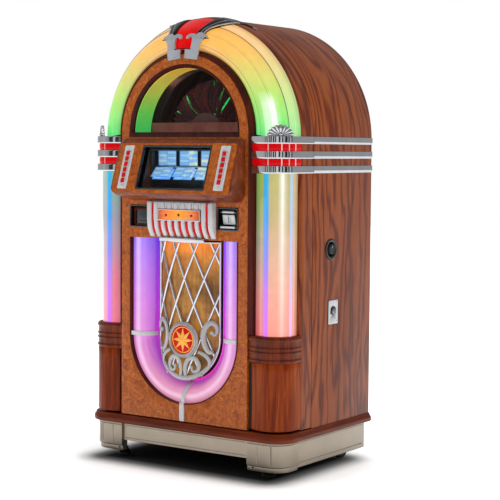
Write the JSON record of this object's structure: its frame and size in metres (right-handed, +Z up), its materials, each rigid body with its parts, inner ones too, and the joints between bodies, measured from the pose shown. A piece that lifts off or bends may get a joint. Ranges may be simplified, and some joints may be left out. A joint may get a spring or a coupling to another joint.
{
  "type": "jukebox",
  "caption": "Floor-standing jukebox with an arched lit top, glass window, sloping title console, coin slots, U-shaped light tube, lattice speaker grille and side light columns.",
  "frame": {"origin": "on the floor, at the centre of the object's width and depth", "axes": "+Z up; +Y out of the flat back, so the front with the console faces -Y; +X to the right seen from the front"},
  "size_m": [0.82, 0.618, 1.5],
  "materials": {
    "oak_veneer": "satin lacquer",
    "burl_veneer": "gloss lacquer",
    "dark_wood": "gloss lacquer",
    "carcass_board": "matt",
    "steel": "brushed",
    "chrome": "polished",
    "black_plastic": "matt",
    "black_rubber": "matt",
    "red_plastic": "gloss, lit from behind",
    "arch_plastic": "translucent, lit from behind",
    "column_plastic": "translucent, lit from behind",
    "tube_plastic": "translucent, lit from behind",
    "clear_glass": "clear",
    "gold_cloth": "woven, metallic thread",
    "disc_silver": "polished",
    "label_orange": "lit from behind"
  },
  "bodies": {
    "cabinet": {"cabinet_shell": "oak_veneer", "back_panel": "carcass_board", "base_moulding": "dark_wood", "inner_boards": "carcass_board", "plinth": "steel", "castor_forks": "steel", "cabinet_bands": "chrome", "volume_cup": "black_plastic", "lock_plate": "steel", "mechanism_frame": "steel", "sound_system": "black_plastic", "hinge_cabinet_leaves": "chrome"},
    "door": {"door_frame": "dark_wood", "front_panel": "burl_veneer", "column_lenses": "column_plastic", "column_bases": "burl_veneer", "door_bands": "chrome", "red_lenses": "red_plastic", "arch_lens": "arch_plastic", "crown_castings": "chrome", "window_trim": "dark_wood", "glass_panes": "clear_glass", "window_liner": "arch_plastic", "console_housing": "burl_veneer", "key_plates": "chrome", "title_rack": "black_plastic", "selector_grille": "chrome", "selector_inserts": "red_plastic", "coin_unit": "black_plastic", "light_tube": "tube_plastic", "grille_metalwork": "chrome", "grille_cloth": "gold_cloth", "medallion": "chrome", "hinge_door_leaves": "chrome"},
    "left_castor_wheel": {"castor_wheel_left": "black_rubber"},
    "right_castor_wheel": {"castor_wheel_right": "black_rubber"},
    "left_levelling_foot": {"levelling_foot_left": "black_rubber"},
    "right_levelling_foot": {"levelling_foot_right": "black_rubber"},
    "knob": {"volume_knob": "black_plastic"},
    "key_lock": {"lock_plug": "black_plastic"},
    "bolt": {"latch_bolt": "steel"},
    "leaf": {"title_leaf": "label_orange"},
    "reject_button": {"coin_reject_button": "chrome"},
    "return_flap": {"coin_return_flap": "black_plastic"},
    "carousel": {"carousel_hub": "black_plastic", "stored_discs": "disc_silver"},
    "player_disc": {"playing_disc": "disc_silver"},
    "carriage": {"disc_carriage": "steel"},
    "select_button_left_1_body": {"select_button_left_1": "red_plastic"},
    "select_button_left_2_body": {"select_button_left_2": "red_plastic"},
    "select_button_left_3_body": {"select_button_left_3": "red_plastic"},
    "select_button_left_4_body": {"select_button_left_4": "red_plastic"},
    "select_button_left_5_body": {"select_button_left_5": "red_plastic"},
    "select_button_left_6_body": {"select_button_left_6": "red_plastic"},
    "select_button_right_1_body": {"select_button_right_1": "red_plastic"},
    "select_button_right_2_body": {"select_button_right_2": "red_plastic"},
    "select_button_right_3_body": {"select_button_right_3": "red_plastic"},
    "select_button_right_4_body": {"select_button_right_4": "red_plastic"},
    "select_button_right_5_body": {"select_button_right_5": "red_plastic"},
    "select_button_right_6_body": {"select_button_right_6": "red_plastic"}
  },
  "joints": [
    {"name": "door_hinge", "type": "hinge", "parent": "cabinet", "child": "door", "pos_m": [-0.4055, -0.064, 0.6], "axis": [0, 0, -1], "range_deg": [0, 100]},
    {"name": "left_castor_spin", "type": "hinge", "parent": "cabinet", "child": "left_castor_wheel", "pos_m": [-0.33, 0.235, 0.0375], "axis": [1, 0, 0], "continuous": true},
    {"name": "right_castor_spin", "type": "hinge", "parent": "cabinet", "child": "right_castor_wheel", "pos_m": [0.33, 0.235, 0.0375], "axis": [1, 0, 0], "continuous": true},
    {"name": "left_foot_screw", "type": "slide", "parent": "cabinet", "child": "left_levelling_foot", "axis": [0, 0, 1], "range_m": [0, 0.012]},
    {"name": "right_foot_screw", "type": "slide", "parent": "cabinet", "child": "right_levelling_foot", "axis": [0, 0, 1], "range_m": [0, 0.012]},
    {"name": "volume_turn", "type": "hinge", "parent": "cabinet", "child": "knob", "pos_m": [0.4, 0.049, 0.733], "axis": [1, 0, 0], "range_deg": [-135, 135]},
    {"name": "lock_turn", "type": "hinge", "parent": "cabinet", "child": "key_lock", "pos_m": [0.4, 0.064, 0.527], "axis": [1, 0, 0], "range_deg": [0, 90]},
    {"name": "bolt_slide", "type": "slide", "parent": "cabinet", "child": "bolt", "axis": [0, -1, 0], "range_m": [0, 0.0226]},
    {"name": "title_flip", "type": "hinge", "parent": "door", "child": "leaf", "pos_m": [0, -0.205, 1], "axis": [1, 0, 0], "range_deg": [-130, 0]},
    {"name": "reject_press", "type": "slide", "parent": "door", "child": "reject_button", "axis": [0, 1, 0], "range_m": [0, 0.004]},
    {"name": "flap_swing", "type": "hinge", "parent": "door", "child": "return_flap", "pos_m": [-0.181, -0.216, 0.861], "axis": [1, 0, 0], "range_deg": [0, 20]},
    {"name": "carousel_turn", "type": "hinge", "parent": "cabinet", "child": "carousel", "pos_m": [0, -0.04, 1.11], "axis": [0, 1, 0], "continuous": true},
    {"name": "disc_spin", "type": "hinge", "parent": "cabinet", "child": "player_disc", "pos_m": [0, -0.04, 0.852], "axis": [1, 0, 0], "continuous": true},
    {"name": "carriage_lower", "type": "slide", "parent": "cabinet", "child": "carriage", "axis": [0, 0, -1], "range_m": [0, 0.125]},
    {"name": "select_button_left_1_press", "type": "slide", "parent": "door", "child": "select_button_left_1_body", "axis": [0, 0.9484, -0.3171], "range_m": [0, 0.003]},
    {"name": "select_button_left_2_press", "type": "slide", "parent": "door", "child": "select_button_left_2_body", "axis": [0, 0.9484, -0.3171], "range_m": [0, 0.003]},
    {"name": "select_button_left_3_press", "type": "slide", "parent": "door", "child": "select_button_left_3_body", "axis": [0, 0.9484, -0.3171], "range_m": [0, 0.003]},
    {"name": "select_button_left_4_press", "type": "slide", "parent": "door", "child": "select_button_left_4_body", "axis": [0, 0.9484, -0.3171], "range_m": [0, 0.003]},
    {"name": "select_button_left_5_press", "type": "slide", "parent": "door", "child": "select_button_left_5_body", "axis": [0, 0.9484, -0.3171], "range_m": [0, 0.003]},
    {"name": "select_button_left_6_press", "type": "slide", "parent": "door", "child": "select_button_left_6_body", "axis": [0, 0.9484, -0.3171], "range_m": [0, 0.003]},
    {"name": "select_button_right_1_press", "type": "slide", "parent": "door", "child": "select_button_right_1_body", "axis": [0, 0.9484, -0.3171], "range_m": [0, 0.003]},
    {"name": "select_button_right_2_press", "type": "slide", "parent": "door", "child": "select_button_right_2_body", "axis": [0, 0.9484, -0.3171], "range_m": [0, 0.003]},
    {"name": "select_button_right_3_press", "type": "slide", "parent": "door", "child": "select_button_right_3_body", "axis": [0, 0.9484, -0.3171], "range_m": [0, 0.003]},
    {"name": "select_button_right_4_press", "type": "slide", "parent": "door", "child": "select_button_right_4_body", "axis": [0, 0.9484, -0.3171], "range_m": [0, 0.003]},
    {"name": "select_button_right_5_press", "type": "slide", "parent": "door", "child": "select_button_right_5_body", "axis": [0, 0.9484, -0.3171], "range_m": [0, 0.003]},
    {"name": "select_button_right_6_press", "type": "slide", "parent": "door", "child": "select_button_right_6_body", "axis": [0, 0.9484, -0.3171], "range_m": [0, 0.003]}
  ],
  "couplings": [
    {"joint": "bolt_slide", "follows": "lock_turn", "m_per_rad": 0.014388}
  ]
}
